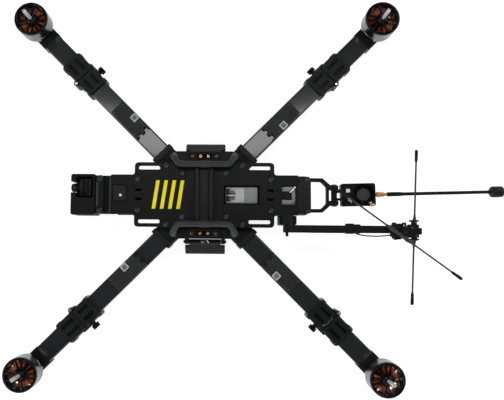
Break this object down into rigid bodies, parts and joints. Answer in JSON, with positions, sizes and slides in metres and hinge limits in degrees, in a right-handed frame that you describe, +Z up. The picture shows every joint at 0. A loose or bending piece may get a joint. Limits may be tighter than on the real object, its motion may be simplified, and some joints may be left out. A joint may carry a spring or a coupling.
{
  "type": "folding quadcopter airframe",
  "caption": "Folding multirotor airframe with hinged tube arms, outrunner motors, strap-slotted deck, carrying bars, nose camera and tail antennas.",
  "frame": {"origin": "centre of the belly plate's underside", "axes": "+Z up, +X towards the tail antennas, -X towards the nose camera, +Y to the right side of the aircraft"},
  "size_m": [0.6906, 0.545, 0.12],
  "materials": {
    "carbon_plate": "satin carbon-fibre plate",
    "moulded_black": "matte moulded nylon",
    "handle_grey": "satin moulded nylon",
    "socket_black": "matte moulded nylon",
    "module_grey": "satin light grey",
    "flexible_print": "matte flexible printed plastic",
    "leg_black": "matte moulded nylon",
    "camera_black": "matte",
    "transmitter_black": "matte anodised",
    "fan_black": "satin",
    "gold": "polished plated",
    "antenna_black": "satin",
    "boom_black": "matte",
    "whip_rubber": "matte",
    "arm_tube_gloss": "glossy carbon-fibre tube",
    "arm_tube_dark": "glossy carbon-fibre tube",
    "controller_cover": "matte anodised",
    "joint_black": "black anodised",
    "knob_black": "black anodised, knurled",
    "motor_windings": "enamelled copper on a dark core",
    "motor_bell": "gunmetal anodised"
  },
  "bodies": {
    "airframe": {"top_plate": "carbon_plate", "belly_plate": "carbon_plate", "body_frame": "moulded_black", "bus_cover": "moulded_black", "flight_controller": "module_grey", "power_socket_left": "socket_black", "power_socket_right": "socket_black", "handle_left": "handle_grey", "handle_right": "handle_grey", "leg_bracket_left": "moulded_black", "leg_bracket_right": "moulded_black", "nose_bracket": "moulded_black", "camera_housing": "moulded_black", "tail_clamp": "moulded_black", "tail_yoke": "flexible_print", "boom_post": "moulded_black", "arm_inner_rear_right": "arm_tube_gloss", "speed_controller_rear_right": "controller_cover", "joint_inner_rear_right": "joint_black", "arm_inner_front_right": "arm_tube_gloss", "speed_controller_front_right": "controller_cover", "joint_inner_front_right": "joint_black", "arm_inner_front_left": "arm_tube_gloss", "speed_controller_front_left": "controller_cover", "joint_inner_front_left": "joint_black", "arm_inner_rear_left": "arm_tube_gloss", "speed_controller_rear_left": "controller_cover", "joint_inner_rear_left": "joint_black"},
    "arm_rear_right": {"joint_outer_rear_right": "joint_black", "arm_outer_rear_right": "arm_tube_dark", "motor_stator_rear_right": "motor_windings"},
    "rotor_rear_right": {"motor_bell_rear_right": "motor_bell"},
    "knob_rear_right": {"joint_knob_rear_right": "knob_black"},
    "arm_front_right": {"joint_outer_front_right": "joint_black", "arm_outer_front_right": "arm_tube_dark", "motor_stator_front_right": "motor_windings"},
    "rotor_front_right": {"motor_bell_front_right": "motor_bell"},
    "knob_front_right": {"joint_knob_front_right": "knob_black"},
    "arm_front_left": {"joint_outer_front_left": "joint_black", "arm_outer_front_left": "arm_tube_dark", "motor_stator_front_left": "motor_windings"},
    "rotor_front_left": {"motor_bell_front_left": "motor_bell"},
    "knob_front_left": {"joint_knob_front_left": "knob_black"},
    "arm_rear_left": {"joint_outer_rear_left": "joint_black", "arm_outer_rear_left": "arm_tube_dark", "motor_stator_rear_left": "motor_windings"},
    "rotor_rear_left": {"motor_bell_rear_left": "motor_bell"},
    "knob_rear_left": {"joint_knob_rear_left": "knob_black"},
    "leg_left": {"leg_left": "leg_black"},
    "leg_right": {"leg_right": "leg_black"},
    "camera": {"camera": "camera_black"},
    "transmitter_cradle": {"antenna_cradle": "flexible_print", "video_transmitter": "transmitter_black", "antenna_plug": "gold", "video_antenna": "antenna_black"},
    "fan": {"transmitter_fan": "fan_black"},
    "boom": {"antenna_boom": "boom_black", "antenna_mount": "flexible_print", "whip_cross": "whip_rubber", "whip_slant": "whip_rubber"}
  },
  "joints": [
    {"name": "arm_fold_rear_right", "type": "hinge", "parent": "airframe", "child": "arm_rear_right", "pos_m": [0.18943, 0.16454, 0.017], "axis": [0, 0, -1], "range_deg": [0, 175]},
    {"name": "motor_spin_rear_right", "type": "hinge", "parent": "arm_rear_right", "child": "rotor_rear_right", "pos_m": [0.24855, 0.24855, 0.05], "axis": [0, 0, 1], "continuous": true},
    {"name": "knob_turn_rear_right", "type": "hinge", "parent": "airframe", "child": "knob_rear_right", "pos_m": [0.15563, 0.18703, 0.017], "axis": [-0.7071, 0.7071, 0], "continuous": true},
    {"name": "arm_fold_front_right", "type": "hinge", "parent": "airframe", "child": "arm_front_right", "pos_m": [-0.18943, 0.16454, 0.017], "axis": [0, 0, 1], "range_deg": [0, 175]},
    {"name": "motor_spin_front_right", "type": "hinge", "parent": "arm_front_right", "child": "rotor_front_right", "pos_m": [-0.24855, 0.24855, 0.05], "axis": [0, 0, 1], "continuous": true},
    {"name": "knob_turn_front_right", "type": "hinge", "parent": "airframe", "child": "knob_front_right", "pos_m": [-0.15563, 0.18703, 0.017], "axis": [0.7071, 0.7071, 0], "continuous": true},
    {"name": "arm_fold_front_left", "type": "hinge", "parent": "airframe", "child": "arm_front_left", "pos_m": [-0.18943, -0.16454, 0.017], "axis": [0, 0, -1], "range_deg": [0, 175]},
    {"name": "motor_spin_front_left", "type": "hinge", "parent": "arm_front_left", "child": "rotor_front_left", "pos_m": [-0.24855, -0.24855, 0.05], "axis": [0, 0, 1], "continuous": true},
    {"name": "knob_turn_front_left", "type": "hinge", "parent": "airframe", "child": "knob_front_left", "pos_m": [-0.15563, -0.18703, 0.017], "axis": [0.7071, -0.7071, 0], "continuous": true},
    {"name": "arm_fold_rear_left", "type": "hinge", "parent": "airframe", "child": "arm_rear_left", "pos_m": [0.18943, -0.16454, 0.017], "axis": [0, 0, 1], "range_deg": [0, 175], "deforming": ["whip_cross"]},
    {"name": "motor_spin_rear_left", "type": "hinge", "parent": "arm_rear_left", "child": "rotor_rear_left", "pos_m": [0.24855, -0.24855, 0.05], "axis": [0, 0, 1], "continuous": true},
    {"name": "knob_turn_rear_left", "type": "hinge", "parent": "airframe", "child": "knob_rear_left", "pos_m": [0.15563, -0.18703, 0.017], "axis": [-0.7071, -0.7071, 0], "continuous": true},
    {"name": "leg_fold_left", "type": "hinge", "parent": "airframe", "child": "leg_left", "pos_m": [0, -0.0655, -0.006], "axis": [1, 0, 0], "range_deg": [0, 110], "stiffness_Nm_per_rad": 0.02, "springref_deg": -40.11},
    {"name": "leg_fold_right", "type": "hinge", "parent": "airframe", "child": "leg_right", "pos_m": [0, 0.0655, -0.006], "axis": [-1, 0, 0], "range_deg": [0, 110], "stiffness_Nm_per_rad": 0.02, "springref_deg": -40.11},
    {"name": "camera_tilt", "type": "hinge", "parent": "airframe", "child": "camera", "pos_m": [-0.17, 0.0104, 0.031], "axis": [0, 1, 0], "range_deg": [-20, 20]},
    {"name": "cradle_tilt", "type": "hinge", "parent": "airframe", "child": "transmitter_cradle", "pos_m": [0.183, 0.0009, 0.04], "axis": [0, 1, 0], "range_deg": [0, 85]},
    {"name": "fan_spin", "type": "hinge", "parent": "transmitter_cradle", "child": "fan", "pos_m": [0.22258, 0.00208, 0.044], "axis": [0, 0, 1], "continuous": true},
    {"name": "boom_fold", "type": "hinge", "parent": "airframe", "child": "boom", "pos_m": [0.113, -0.047, 0.071], "axis": [0, -1, 0], "range_deg": [0, 90]}
  ]
}
